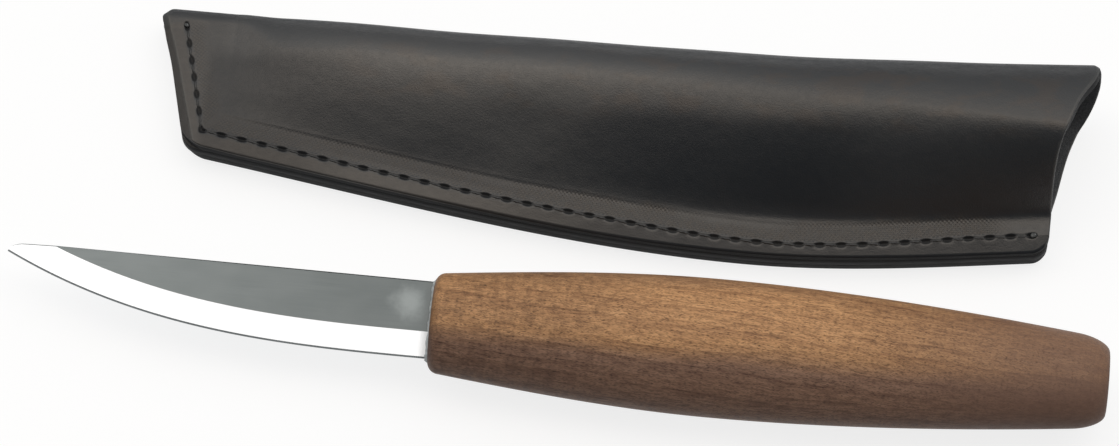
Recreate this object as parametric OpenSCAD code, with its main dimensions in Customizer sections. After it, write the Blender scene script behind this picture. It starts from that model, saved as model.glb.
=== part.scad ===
// Sloyd knife with its leather sheath, lying side by side on a table.
// Frame: +X runs from the blade's point to the butt, +Y from the knife to the sheath, +Z up.
// The origin is on the table, under the middle of the pair. All sizes are in millimetres.

/* [Blade] */
// Length of the blade from the handle to the point
blade_length = 80; // [60:1:100]
// Height of the blade at the handle
blade_height = 15.2; // [12:0.1:18]
// Thickness of the steel
blade_thickness = 2; // [1.6:0.1:3]
// Width of the ground bevel on each side
bevel_width = 5; // [3.5:0.1:6]
// Depth of the cutting edge below the handle's centre line, at the handle
edge_below = 7.3; // [5:0.1:8]
// Rise of the blade's back from the handle to the point
back_rise = 0.4; // [0:0.1:2]
// How late the edge sweeps up to the point
edge_sweep = 2.9; // [2:0.1:3.5]
// Height of the rounded point
point_drop = 1.6; // [0.8:0.1:3]
// Length of the rounded point
point_run = 3; // [1:0.1:6]

/* [Tang] */
// Length of the tang inside the handle
tang_length = 85; // [50:1:100]
// Height of the tang
tang_height = 8; // [5:0.1:8.5]
// How much thinner the tang is than the blade, on each side
tang_thin = 0.1; // [0.05:0.01:0.3]
// Shoulder between the blade's back and the tang
tang_shoulder = 1.5; // [1:0.1:3]
// Glue gap all round the tang
glue_gap = 0.6; // [0.3:0.1:1]

/* [Handle] */
// Length of the handle
handle_length = 125; // [110:1:140]
// Height of the handle at its widest
handle_height = 26.4; // [22:0.1:30]
// Thickness of the handle at its widest
handle_thickness = 21; // [18:0.1:26]
// Distance from the front of the handle to its widest place
handle_swell_at = 52; // [40:1:65]
// Height of the front end
front_height = 18.8; // [17:0.1:22]
// Thickness of the front end
front_thickness = 15.4; // [13:0.1:18]
// Height of the butt end
butt_height = 16.8; // [14:0.1:20]
// Thickness of the butt end
butt_thickness = 13.8; // [11:0.1:18]
// Radius of the rounded front edge
front_round = 1.8; // [0.8:0.1:3]
// Depth of the rounded butt edge, across the handle
butt_round = 2.4; // [1:0.1:4]
// Length of the rounded butt edge, along the handle
butt_round_run = 6; // [2:0.1:9]

/* [Sheath] */
// Thickness of the leather
leather = 2; // [1.6:0.1:2.6]
// Thickness of the welt strip between the two panels
welt_thick = 2.2; // [1.6:0.1:3.5]
// Width of the welt strip
welt_width = 7.4; // [6:0.1:10]
// Thickness of each cement film
cement = 0.1; // [0.05:0.01:0.2]
// Room between the blade's point and the welt
point_clear = 3; // [1:0.5:8]
// Length of the handle that the sheath covers
handle_cover = 81.7; // [65:0.1:90]
// Room beside the blade at the tip
blade_clear = 3; // [2:0.1:6]
// Room beside the handle at its widest
handle_clear = 5; // [3:0.1:9]
// How much narrower the mouth is than the handle
mouth_grip = 1.8; // [1:0.1:4]
// How far the empty pocket closes up
pocket_relax = 1.7; // [1:0.1:5]
// How late the pocket opens out to the mouth
pocket_flare = 0.8; // [0.6:0.05:1.4]
// How far the front bulges beside the blade
blade_bulge = 1.7; // [0:0.1:3]
// Distance from the fold to the pocket's ridge, beside the blade
ridge_blade = 8.2; // [5:0.1:10]
// Distance from the fold to the pocket's ridge, at the mouth
ridge_mouth = 15.9; // [12:0.1:18]
// How far the fold bends in, halfway along
fold_hollow = 0.65; // [0:0.05:1]
// How far the back of the pocket sags below the seam
back_sag = 1.2; // [1:0.1:2]
// Slant of the tip end
tip_slant = 7.1; // [3:0.1:10]
// Slant of the mouth
mouth_slant = 8.3; // [3:0.1:12]
// Radius of the tip corner
tip_corner = 4; // [2:0.1:6]
// Radius of the mouth corner
mouth_corner = 3; // [2:0.1:5]

/* [Stitching] */
// Diameter of the thread
thread = 0.8; // [0.6:0.05:1]
// Distance from one stitch hole to the next, about that along the belly and at most that at the tip end
stitch_pitch = 4; // [3:0.1:5]
// Distance from the edge to the stitches
stitch_margin = 3.2; // [2.6:0.1:4]
// How much nearer to the edge the stitches run along the widest part of the belly
seam_bow = 1; // [0:0.05:1.2]
// Clearance round the threads in a stitch hole
hole_clear = 0.1; // [0.05:0.01:0.2]
// Distance from the mouth to the last stitch hole
mouth_margin = 3.2; // [2.6:0.1:8]

/* [Layout] */
// Distance from the knife's centre line to the fold of the sheath
lay_apart = 62; // [58:0.5:100]
// Distance from the blade's point to the tip end of the sheath, along the knife
lay_back = 21.8; // [0:0.1:40]

/* [Hidden] */
$fn = 32;
// Room that a cutting shape reaches past the shape it cuts
past = 1;

// Knife, in its own frame: the front of the handle is at x = 0 and the centre line at y = z = 0.
spine_y = blade_height - edge_below;
edge_rise = blade_height + back_rise - point_drop;
tang_y = spine_y - tang_shoulder - tang_height / 2;
tang_root = 4;
grind_reach = 2 * blade_height;
edge_steps = 28;
point_steps = 6;
front_fullness = 0.45;
butt_fullness = 0.22;
handle_steps = 24;
round_steps = 6;
handle_sides = 40;
knife_x = (blade_length - handle_length) / 2;
knife_y = (handle_height / 2 - lay_apart) / 2;
knife_z = handle_thickness / 2;

// Sheath, in its own frame: the tip end of the fold is at x = 0, w is the distance from the fold,
// and z is the height above the table.
seam_thick = 2 * leather + welt_thick + 2 * cement;
seam_low = back_sag;
seam_top = seam_low + seam_thick;
welt_low = seam_low + leather + cement;
lock_z = seam_low + seam_thick / 2;
flat_end = tip_slant + welt_width;
sheath_length = flat_end + point_clear + blade_length + handle_cover;
pocket_peak = 2 * leather + handle_thickness - pocket_relax;
belly_at = sheath_length - handle_cover + handle_swell_at / 3;
tip_width = leather + blade_height + blade_clear + welt_width;
belly_width = leather + handle_height + handle_clear + welt_width;
mouth_width = leather + handle_height - mouth_grip + welt_width;
belly_fullness = 0.83;
sag_run = 8;
mouth_run = 0.73 * mouth_width;
section_steps = 26;
rise_steps = 8;
crown = [0.15, 0.46];
crease = 0.25;
bulge_in = 1.5;
bulge_out = 9;
ridge_start = 0.06;
ridge_bend = 2.2;
fold_below = 0.4;
fold_steps = 12;
sag_steps = 4;
belly_steps = 20;
corner_steps = 6;
end_clear = 0.05;
end_land = 0.5;
fold_radius = seam_thick / 2;
sheath_x = knife_x - blade_length + lay_back;
sheath_y = (handle_height / 2 + lay_apart) / 2;

// Where along the belly row the stitches near the edge and over how much of the row they do, as shares.
bow_start = 0.45;
bow_run = 0.52;
// Stitches: each is a staple with a run on the leather and a leg in each of its two holes.
leg_radius = 0.42 * thread;
leg_offset = leg_radius + hole_clear / 2;
run_end = 0.8 * leg_radius;
hole_radius = leg_offset + leg_radius + hole_clear;
thread_gap = 0.03;

// Falls from 0 at u = 0 to 1 at u = 1; fullness 0 is a parabola, and 1 runs almost straight at the end.
function fall(u, fullness) = u * u * (1 + fullness * (1 - u));

// Profile that swells from first to peak and tapers to last.
function swell(s, length, at, peak, first, last, full_in, full_out) =
    s < at
    ? peak - (peak - first) * fall((at - s) / at, full_in)
    : peak - (peak - last) * fall((s - at) / (length - at), full_out);

function clamp(u) = min(1, max(0, u));
function smooth(u) = u * u * (3 - 2 * u);
function mix(a, b, u) = a + (b - a) * u;
function curve(a, b, c, d, u) =
    let (v = 1 - u) v * v * v * a + 3 * v * v * u * b + 3 * v * u * u * c + u * u * u * d;
function reverse(list) = [for (i = [len(list) - 1:-1:0]) list[i]];

// Solid through a list of closed rings that have the same number of points. Each end is closed with a strip
// from one side of its ring to the other.
module loft(rings) {
    n = len(rings[0]);
    last = len(rings) - 1;
    sides = [
        for (i = [0:last - 1], j = [0:n - 1], half = [0, 1])
            let (a = i * n + j, b = i * n + (j + 1) % n)
                half == 0 ? [a, b, b + n] : [a, b + n, a + n]
    ];
    strip = [
        for (j = [0:floor(n / 2) - 1], half = [0, 1])
            let (k = n - 1 - j)
                if (k - half > j + 1) half == 0 ? [j, k, j + 1] : [j + 1, k, k - 1]
    ];
    ends = concat(strip, [for (f = strip) [last * n + f[0], last * n + f[2], last * n + f[1]]]);
    polyhedron([for (ring = rings) each ring], concat(sides, ends), convexity = 8);
}

module at_knife() {
    translate([knife_x, knife_y, knife_z]) children();
}

module at_sheath() {
    translate([sheath_x, sheath_y, 0]) children();
}

// Cutting edge at distance t from the handle, and the direction from it into the blade.
function edge_at(t) = [-t, edge_rise * pow(max(0, t) / blade_length, edge_sweep) - edge_below];
function edge_slope(t) =
    edge_rise * edge_sweep / blade_length * pow(max(0, t) / blade_length, edge_sweep - 1);
function inward(t) = let (m = edge_slope(t)) [m, 1] / norm([m, 1]);

// Outline of the steel, with room below the cutting edge for the grind.
module blade_plate() {
    low = -edge_below - past;
    point_arc = [
        for (i = [0:point_steps])
            let (a = 90 * i / point_steps)
                [-blade_length + point_run * (1 - sin(a)), spine_y + back_rise - point_drop * (1 - cos(a))]
    ];
    linear_extrude(blade_thickness, center = true)
        polygon(concat([[0, low], [0, spine_y]], point_arc, [[-blade_length, low]]));
}

// Wedge between the two bevels, with the cutting edge as its sharp corner. It runs on past the tang's end.
module grind() {
    rise = grind_reach * blade_thickness / 2 / bevel_width;
    loft([
        for (t = [-tang_length - past, for (i = [0:edge_steps + 1]) blade_length * i / edge_steps])
            let (e = edge_at(t), top = e + grind_reach * inward(t))
                [[e.x, e.y, 0], [top.x, top.y, rise], [top.x, top.y, -rise]]
    ]);
}

// Flat bar with a round end, from start to length along x, grown by gap on every side but its start.
module tang_bar(start, gap) {
    h = tang_height + 2 * gap;
    thick = blade_thickness - 2 * tang_thin + 2 * gap;
    end = tang_length + gap - h / 2;
    translate([start, tang_y - h / 2, -thick / 2]) cube([end - start, h, thick]);
    translate([end, tang_y, 0]) cylinder(thick, r = h / 2, center = true);
}

module blade() {
    color("silver") at_knife() intersection() {
        union() {
            blade_plate();
            tang_bar(-tang_root, 0);
        }
        grind();
    }
}

// How far the rounded ends take the handle in, at distance s from its front.
function front_in(s) =
    let (u = clamp(1 - s / front_round)) front_round * (1 - sqrt(1 - u * u));
function butt_in(s) =
    let (u = clamp((s - handle_length) / butt_round_run + 1)) butt_round * (1 - sqrt(1 - u * u));

function handle_profile(s, peak, first, last) =
    swell(s, handle_length, handle_swell_at, peak, first, last, front_fullness, butt_fullness) / 2
    - front_in(s) - butt_in(s);

// Places along the handle, close together where its ends are rounded.
handle_places = concat(
    [for (i = [0:round_steps]) front_round * (1 - cos(90 * i / round_steps))],
    [for (i = [1:handle_steps - 1])
        mix(front_round, handle_length - butt_round_run, i / handle_steps)],
    [for (i = [0:round_steps]) handle_length - butt_round_run * (1 - sin(90 * i / round_steps))]
);

module handle_body() {
    loft([
        for (s = handle_places)
            let (
                a = handle_profile(s, handle_height, front_height, butt_height),
                b = handle_profile(s, handle_thickness, front_thickness, butt_thickness)
            )
                [for (j = [0:handle_sides - 1])
                    let (angle = -360 * j / handle_sides) [s, a * cos(angle), b * sin(angle)]]
    ]);
}

module handle() {
    color("sienna") at_knife() difference() {
        handle_body();
        tang_bar(-past, glue_gap);
    }
}

module tang_epoxy() {
    color("darkkhaki") at_knife() difference() {
        tang_bar(0, glue_gap);
        tang_bar(-past, 0);
    }
}

// Width of the sheath, from its fold to its belly.
function belly(x) =
    swell(clamp(x / sheath_length) * sheath_length, sheath_length, belly_at,
          belly_width, tip_width, mouth_width, belly_fullness, belly_fullness);

// How far along the pocket x lies, from 0 where the welt of the tip ends to 1 at the mouth.
function pocket_u(x) = clamp((x - flat_end) / (sheath_length - flat_end));

// Bulge of the front beside the blade, which is 1 where it is most.
function bulge_line(u) = pow(u, bulge_in) * pow(1 - u, bulge_out);
function bulge(u) = bulge_line(u) / bulge_line(bulge_in / (bulge_in + bulge_out));

// Height of the pocket's front and back, which part where the welt ends.
function pocket_top(x) =
    let (u = pocket_u(x))
        mix(seam_top, pocket_peak, pow(u, pocket_flare)) + blade_bulge * bulge(u);
function pocket_low(x) = mix(seam_low, 0, smooth(clamp((x - flat_end) / sag_run)));

// Distance from the fold to the ridge, which moves in as the pocket opens.
function ridge(x) =
    let (u = pocket_u(x))
        mix(fold_radius, ridge_blade, smooth(clamp(u / ridge_start)))
            + (ridge_mouth - ridge_blade) * pow(u, ridge_bend);

// Height of the fold, as a share of the pocket's: it lies lowest halfway along.
function fold_share(x) = let (u = pocket_u(x)) 0.5 - 0.79 * u + 0.95 * u * u;

// Outside of the leather across the sheath, as [w, z]: front panel, fold, then back panel.
function outside(x) =
    let (
        brim = belly(x) + past,
        inner = belly(x) - welt_width,
        top = pocket_top(x),
        low = pocket_low(x),
        fold_z = mix(low, top, fold_share(x)),
        r = ridge(x),
        r_low = mix(fold_radius, r, fold_below),
        u = pocket_u(x),
        foot = [inner, seam_top],
        peak = [r, top],
        bend = [mix(inner, r, crease / 3), mix(seam_top, top, crease * 2 / 3)],
        shoulder = [mix(r, inner, mix(crown[0], crown[1], u)), top],
        flat = inner - sag_run,
        hollow = fold_hollow * 4 * u * (1 - u)
    )
    [for (p = concat(
        [[brim, seam_top]],
        [for (i = [0:rise_steps - 1]) curve(foot, bend, shoulder, peak, i / rise_steps)],
        [for (i = [0:fold_steps])
            let (
                a = 90 - 180 * i / fold_steps,
                deep = a > 0 ? r : r_low,
                tall = a > 0 ? top - fold_z : fold_z - low
            )
                [deep * (1 - cos(a)), fold_z + tall * sin(a)]],
        [for (i = [0:sag_steps])
            let (u = i / sag_steps) [mix(flat, inner, u), mix(low, seam_low, smooth(u))]],
        [[brim, seam_low]]
    )) [p.x + hollow * max(0, 1 - p.x / inner), p.y]];

// Inside of the leather: the outside moved in by its thickness.
function inside(line) =
    [for (i = [0:len(line) - 1])
        let (
            d = line[min(i + 1, len(line) - 1)] - line[max(i - 1, 0)],
            n = [d.y, -d.x] / norm(d)
        )
            line[i] - leather * n];

module folded_leather() {
    loft([
        for (i = [0:section_steps])
            let (
                x = mix(-past, sheath_length + past, i / section_steps),
                line = outside(x)
            )
                [for (p = concat(line, reverse(inside(line)))) [x, -p.x, p.y]]
    ]);
}

function tip_line(w) = tip_slant * w / tip_width;

// Arc that rounds the corner at b, between a and c.
function rounded(a, b, c, r) =
    let (
        u = (a - b) / norm(a - b),
        v = (c - b) / norm(c - b),
        half = acos(u * v) / 2,
        middle = b + (u + v) / norm(u + v) * r / sin(half),
        from = b + u * r / tan(half) - middle,
        to = b + v * r / tan(half) - middle,
        turn = acos(from * to / r / r)
    )
    [for (i = [0:corner_steps])
        let (k = i / corner_steps)
            middle + (from * sin(turn * (1 - k)) + to * sin(turn * k)) / sin(turn)];

// Outline of the flat sheath as [x, w], open past the fold.
mouth_x = sheath_length - mouth_slant;
mouth_end = [mouth_x, belly(mouth_x)];
mouth_bend = (mouth_end.y - mouth_run - 1.3 * mouth_corner) / tan(atan2(mouth_slant, mouth_run) / 2);
tip_end = [tip_line(belly(tip_slant)), belly(tip_slant)];
belly_line = [
    for (i = [1:belly_steps - 1])
        let (x = mix(mouth_end.x, tip_end.x, i / belly_steps)) [x, belly(x)]
];
outline = concat(
    [[-past, -past], [sheath_length, -past]],
    rounded([sheath_length, 0], [mouth_x, mouth_run], mouth_end, mouth_bend),
    rounded([mouth_x, mouth_run], mouth_end, belly_line[0], mouth_corner),
    belly_line,
    rounded(belly_line[belly_steps - 2], tip_end, [0, 0], tip_corner)
);

module sheath_outline() {
    polygon([for (p = outline) [p.x, -p.y]]);
}

// Strip along the tip end and the belly, between the two panels.
module seam_strip() {
    pocket = concat(
        [[sheath_length + past, -past], [sheath_length + past, mouth_end.y - welt_width]],
        [for (p = belly_line) p - [0, welt_width]],
        [[flat_end, tip_end.y - welt_width], [welt_width, -past]]
    );
    difference() {
        sheath_outline();
        polygon([for (p = pocket) [p.x, -p.y]]);
        translate([-past - sheath_length, -fold_radius - end_clear])
            square([2 * sheath_length, 2 * fold_radius + past]);
    }
}

// Stitch holes as [x, w], evenly from the fold down the tip end and then along the belly to the mouth.
function total(list) = list * [for (v = list) 1];
corner_hole = [tip_line(tip_end.y) + stitch_margin, tip_end.y - stitch_margin];
tip_way = [tip_slant, tip_width] / norm([tip_slant, tip_width]);
tip_row = (corner_hole.y - fold_radius - end_clear - end_land - hole_radius) / tip_way.y;
tip_stitches = ceil(tip_row / stitch_pitch);
tip_pitch = tip_row / tip_stitches;
belly_row = mouth_x - mouth_margin - corner_hole.x;
belly_way = total([
    for (i = [0:belly_steps - 1])
        let (x = corner_hole.x + belly_row * i / belly_steps, step = belly_row / belly_steps)
            norm([step, belly(x + step) - belly(x)])
]);
belly_stitches = round(belly_way / stitch_pitch);
belly_pitch = belly_way / belly_stitches;
function seam_margin(x) =
    let (u = clamp(((x - corner_hole.x) / belly_row - bow_start) / bow_run))
        stitch_margin - seam_bow * pow(sin(180 * u), 2);
function belly_holes(x, left) =
    let (slope = belly(x + belly_pitch) - belly(x))
        concat(
            [[x, belly(x) - seam_margin(x)]],
            left == 0 ? [] : belly_holes(x + belly_pitch * belly_pitch / norm([belly_pitch, slope]), left - 1)
        );
holes = concat(
    [for (i = [tip_stitches:-1:1]) corner_hole - i * tip_pitch * tip_way],
    belly_holes(corner_hole.x, belly_stitches)
);

module stitch_holes() {
    for (h = holes)
        translate([h.x, -h.y, -past]) cylinder(pocket_peak, r = hole_radius);
}

// One staple from hole a to hole b: its run at height z, and its legs from there to the lock.
module staple(a, b, z) {
    way = (b - a) / norm(b - a);
    run = norm(b - a) - 2 * leg_offset;
    low = min(z, lock_z + sign(z - lock_z) * thread_gap);
    high = max(z, lock_z + sign(z - lock_z) * thread_gap);
    translate([a.x, -a.y, 0]) rotate([0, 0, -atan2(way.y, way.x)]) {
        translate([leg_offset - run_end, 0, z])
            rotate([0, 90, 0]) cylinder(run + 2 * run_end, r = thread / 2);
        for (x = [leg_offset, leg_offset + run])
            translate([x, 0, low]) cylinder(high - low, r = leg_radius);
    }
}

module thread_row(z) {
    for (i = [0:len(holes) - 2]) staple(holes[i], holes[i + 1], z);
}

module sheath_leather() {
    color("#2b2a29") at_sheath() difference() {
        intersection() {
            folded_leather();
            translate([0, 0, -past]) linear_extrude(pocket_peak + 2 * past) sheath_outline();
        }
        stitch_holes();
    }
}

module seam_layer(z, thick) {
    at_sheath() difference() {
        translate([0, 0, z]) linear_extrude(thick) seam_strip();
        stitch_holes();
    }
}

module sheath_welt() {
    color("#33302d") seam_layer(welt_low, welt_thick);
}

module front_cement() {
    color("tan") seam_layer(welt_low + welt_thick, cement);
}

module back_cement() {
    color("tan") seam_layer(seam_low + leather, cement);
}

module needle_thread() {
    color("#151515") at_sheath() thread_row(seam_top + thread / 2 + thread_gap);
}

module bobbin_thread() {
    color("#151515") at_sheath() thread_row(seam_low - thread / 2 - thread_gap);
}

blade();
handle();
tang_epoxy();
sheath_leather();
sheath_welt();
front_cement();
back_cement();
needle_thread();
bobbin_thread();
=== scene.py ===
"""Looks of the sloyd knife and its leather sheath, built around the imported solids."""

import math

import bmesh
import bpy
import numpy as np
from mathutils import Matrix, Vector


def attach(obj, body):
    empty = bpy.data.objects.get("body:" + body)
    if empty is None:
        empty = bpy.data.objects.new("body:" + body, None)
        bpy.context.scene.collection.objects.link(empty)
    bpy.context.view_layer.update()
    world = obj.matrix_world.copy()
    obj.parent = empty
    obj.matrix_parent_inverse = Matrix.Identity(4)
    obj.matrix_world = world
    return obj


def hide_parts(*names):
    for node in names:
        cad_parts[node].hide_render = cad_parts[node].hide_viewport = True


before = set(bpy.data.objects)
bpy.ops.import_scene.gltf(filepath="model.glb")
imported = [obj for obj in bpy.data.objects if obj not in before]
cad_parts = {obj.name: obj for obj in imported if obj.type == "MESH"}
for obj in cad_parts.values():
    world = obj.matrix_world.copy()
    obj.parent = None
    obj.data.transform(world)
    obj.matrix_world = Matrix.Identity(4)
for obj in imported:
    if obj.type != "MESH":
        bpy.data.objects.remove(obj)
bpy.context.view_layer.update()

# Sizes of the object in millimetres, the same as in the part's source.
MM = 0.001
BLADE_LENGTH, BLADE_HEIGHT, BLADE_THICK, BEVEL_WIDTH = 80.0, 15.2, 2.0, 5.0
EDGE_BELOW, BACK_RISE, EDGE_SWEEP, POINT_DROP, POINT_RUN = 7.3, 0.4, 2.9, 1.6, 3.0
TANG_LENGTH, TANG_HEIGHT, TANG_THICK, TANG_SHOULDER = 85.0, 8.0, 1.8, 1.5
HANDLE_LENGTH, HANDLE_HEIGHT, HANDLE_THICK, SWELL_AT = 125.0, 26.4, 21.0, 52.0
FRONT_HEIGHT, FRONT_THICK, BUTT_HEIGHT, BUTT_THICK = 18.8, 15.4, 16.8, 13.8
FRONT_ROUND, BUTT_ROUND, BUTT_RUN = 1.8, 2.4, 6.0
FRONT_FULL, BUTT_FULL = 0.45, 0.22
SPINE_Y = BLADE_HEIGHT - EDGE_BELOW
EDGE_RISE = BLADE_HEIGHT + BACK_RISE - POINT_DROP
TANG_Y = SPINE_Y - TANG_SHOULDER - TANG_HEIGHT / 2
KNIFE = np.array([-22.5, -24.4, 10.5])

LEATHER, WELT_THICK, WELT_WIDTH, CEMENT = 2.0, 2.2, 7.4, 0.1
SEAM_LOW, SEAM_TOP = 1.2, 7.6
WELT_LOW = SEAM_LOW + LEATHER + CEMENT
WELT_TOP = WELT_LOW + WELT_THICK
TIP_SLANT, MOUTH_SLANT, TIP_CORNER, MOUTH_CORNER = 7.1, 8.3, 4.0, 3.0
FLAT_END = TIP_SLANT + WELT_WIDTH
SHEATH_LENGTH, HANDLE_COVER = 179.2, 81.7
POCKET_PEAK, POCKET_FLARE, BLADE_BULGE, BULGE_IN, BULGE_OUT = 23.3, 0.8, 1.7, 1.5, 9.0
CROWN, CREASE = (0.15, 0.46), 0.25
RIDGE_BLADE, RIDGE_MOUTH, RIDGE_START, RIDGE_BEND = 8.2, 15.9, 0.06, 2.2
FOLD_RADIUS, FOLD_BELOW, FOLD_HOLLOW = 3.2, 0.4, 0.65
BELLY_AT = SHEATH_LENGTH - HANDLE_COVER + SWELL_AT / 3
TIP_WIDTH, BELLY_WIDTH, MOUTH_WIDTH, BELLY_FULL = 27.6, 40.8, 34.0, 0.83
SAG_RUN = 8.0
MOUTH_RUN = 0.73 * MOUTH_WIDTH
MOUTH_X = SHEATH_LENGTH - MOUTH_SLANT
STITCH_MARGIN, STITCH_PITCH, HOLE_RADIUS, MOUTH_MARGIN = 3.2, 4.0, 0.822, 3.2
SEAM_BOW, BOW_START, BOW_RUN = 1.0, 0.45, 0.52
END_CLEAR, END_LAND = 0.05, 0.5
SHEATH = np.array([-80.7, 37.6, 0.0])

# Small forms of the looks alone, in millimetres.
HONE_WIDTH, HONE_HALF, SPINE_EASE = 0.32, 0.17, 0.28
BEAD_SIZE, BEAD_CORNER, BEAD_IN = 0.55, 0.35, 0.30
TIP_FOLD_ROUND, TIP_FULL, TIP_FULL_AT, TIP_FULL_RUN = 2.8, 0.45, 3.5, 4.5
FRONT_BACK, CORNER_BACK, REAR_BACK, CORNER_ROUND = 1.65, 0.6, 1.4, 1.5
FOOT_ROUND, EDGE_ROUND, MOUTH_EASE = 0.9, 0.35, 0.012
GROOVE_DEPTH, SLOT_DEPTH, BAND_DEPTH = 0.14, 0.34, 0.10
BEVEL_FOLD, BEVEL_BELLY, BEVEL_SLOPE, DROP_MOST = 1.0, 1.9, 0.80, 1.75
HATCH_PITCH = 0.78
THREAD_RADIUS, THREAD_TURN = 0.29, 2.6
FAR, NO_LINE = 99.0, 9.0

# Photograph and light
PHOTO_WIDTH, MM_PER_PIXEL = 1119, 0.18854
AZIMUTH, ELEVATION, DISTANCE = math.radians(5.596), math.radians(66.18), 1.0
AIM = Vector((-1.383, 2.547, 0.0)) * MM
SKY_MOST = 2.5
COOL, WARM = (0.96, 1.0, 1.04), (1.05, 1.0, 0.94)
# From the horizon behind the object over the top to the horizon before it, as (degrees, level, tint).
SKY = [
    (0.5, 0.24, COOL), (14, 0.36, COOL), (32, 0.68, COOL), (50, 0.88, COOL), (60, 1.12, COOL),
    (68, 1.52, WARM), (75, 1.92, WARM), (84, 1.92, WARM), (89, 1.52, WARM), (95, 1.04, WARM),
    (100, 0.64, WARM), (105, 0.40, COOL), (110, 0.24, COOL), (118, 0.14, COOL), (179.5, 0.12, COOL),
]


def mix(a, b, u):
    return a + (b - a) * u


def smooth(u):
    u = np.clip(u, 0, 1)
    return u * u * (3 - 2 * u)


def fall(u, full):
    return u * u * (1 + full * (1 - u))


def swell(s, length, at, peak, first, last, full_in, full_out):
    """Profile that swells from first to peak and tapers to last."""
    s = np.asarray(s, float)
    before = peak - (peak - first) * fall((at - s) / at, full_in)
    after = peak - (peak - last) * fall((s - at) / (length - at), full_out)
    return np.where(s < at, before, after)


# Meshes

def ring_faces(rings, sides):
    """Quads between closed rings that follow each other in the list of points."""
    return [
        (i * sides + j, i * sides + (j + 1) % sides, (i + 1) * sides + (j + 1) % sides, (i + 1) * sides + j)
        for i in range(rings - 1) for j in range(sides)
    ]


def tube_faces(rings, sides):
    """The same, with a face over each end."""
    return ring_faces(rings, sides) + [tuple(range(sides)), tuple(range((rings - 1) * sides, rings * sides))]


def grid_faces(number):
    """Quads between points whose numbers stand in a grid."""
    return list(zip(*(n.ravel() for n in (number[:-1, :-1], number[1:, :-1], number[1:, 1:], number[:-1, 1:]))))


def make(name, points, faces, body, nodes, materials, place, attributes=None, face_slots=None, sharp=30):
    """A closed mesh from points in millimetres, which stands for CAD nodes and rides on their body."""
    mesh = bpy.data.meshes.new(name)
    points = (np.asarray(points) + place) * MM
    mesh.from_pydata(points.tolist(), [], [tuple(int(i) for i in f) for f in faces])
    for key, values in (attributes or {}).items():
        mesh.attributes.new(key, "FLOAT", "POINT").data.foreach_set("value", np.asarray(values, np.float32))
    for m in materials:
        mesh.materials.append(m)
    if face_slots is not None:
        mesh.polygons.foreach_set("material_index", np.asarray(face_slots, np.int32))
    bm = bmesh.new()
    bm.from_mesh(mesh)
    bmesh.ops.remove_doubles(bm, verts=bm.verts, dist=2e-7)
    bmesh.ops.dissolve_degenerate(bm, edges=bm.edges, dist=1e-7)
    bmesh.ops.recalc_face_normals(bm, faces=bm.faces)
    for f in bm.faces:
        f.smooth = True
    bm.to_mesh(mesh)
    bm.free()
    mesh.set_sharp_from_angle(angle=math.radians(sharp))
    piece = bpy.data.objects.new(name, mesh)
    bpy.context.scene.collection.objects.link(piece)
    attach(piece, body)
    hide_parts(*nodes)
    return piece


# Materials

class Nodes:
    """A node tree under construction, with short calls for the nodes it uses."""

    def __init__(self, owner, end):
        owner.use_nodes = True
        self.tree = owner.node_tree
        self.tree.nodes.clear()
        self.end = self.node(end).inputs[0]

    def node(self, kind, inputs=None, **settings):
        n = self.tree.nodes.new("ShaderNode" + kind)
        for key, value in settings.items():
            setattr(n, key, value)
        for key, value in (inputs or {}).items():
            self.put(n.inputs[key], value)
        return n

    def put(self, socket, value):
        if isinstance(value, bpy.types.NodeSocket):
            self.tree.links.new(value, socket)
        else:
            socket.default_value = value

    def math(self, operation, *values):
        return self.node("Math", dict(enumerate(values)), operation=operation).outputs[0]

    def chain(self, operation, values):
        result = values[0]
        for value in values[1:]:
            result = self.math(operation, result, value)
        return result

    def times(self, *values):
        return self.chain("MULTIPLY", values)

    def plus(self, *values):
        return self.chain("ADD", values)

    def most(self, *values):
        return self.chain("MAXIMUM", values)

    def split(self, vector):
        return self.node("SeparateXYZ", {"Vector": vector}).outputs

    def fit(self, value, low, high, to_low=0.0, to_high=1.0, kind="SMOOTHSTEP"):
        inputs = {"Value": value, "From Min": low, "From Max": high, "To Min": to_low, "To Max": to_high}
        return self.node("MapRange", inputs, interpolation_type=kind).outputs[0]

    def between(self, value, start, full, still, end):
        """1 from full to still, falling to 0 at start and end."""
        return self.times(self.fit(value, start, full), self.fit(value, end, still))

    def ramp(self, value, stops):
        n = self.node("ValToRGB", {"Fac": value})
        row = n.color_ramp.elements
        while len(row) < len(stops):
            row.new(1.0)
        for element, (at, colour) in zip(row, stops):
            element.position = at
            element.color = (*colour, 1)
        return n.outputs[0]


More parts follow.
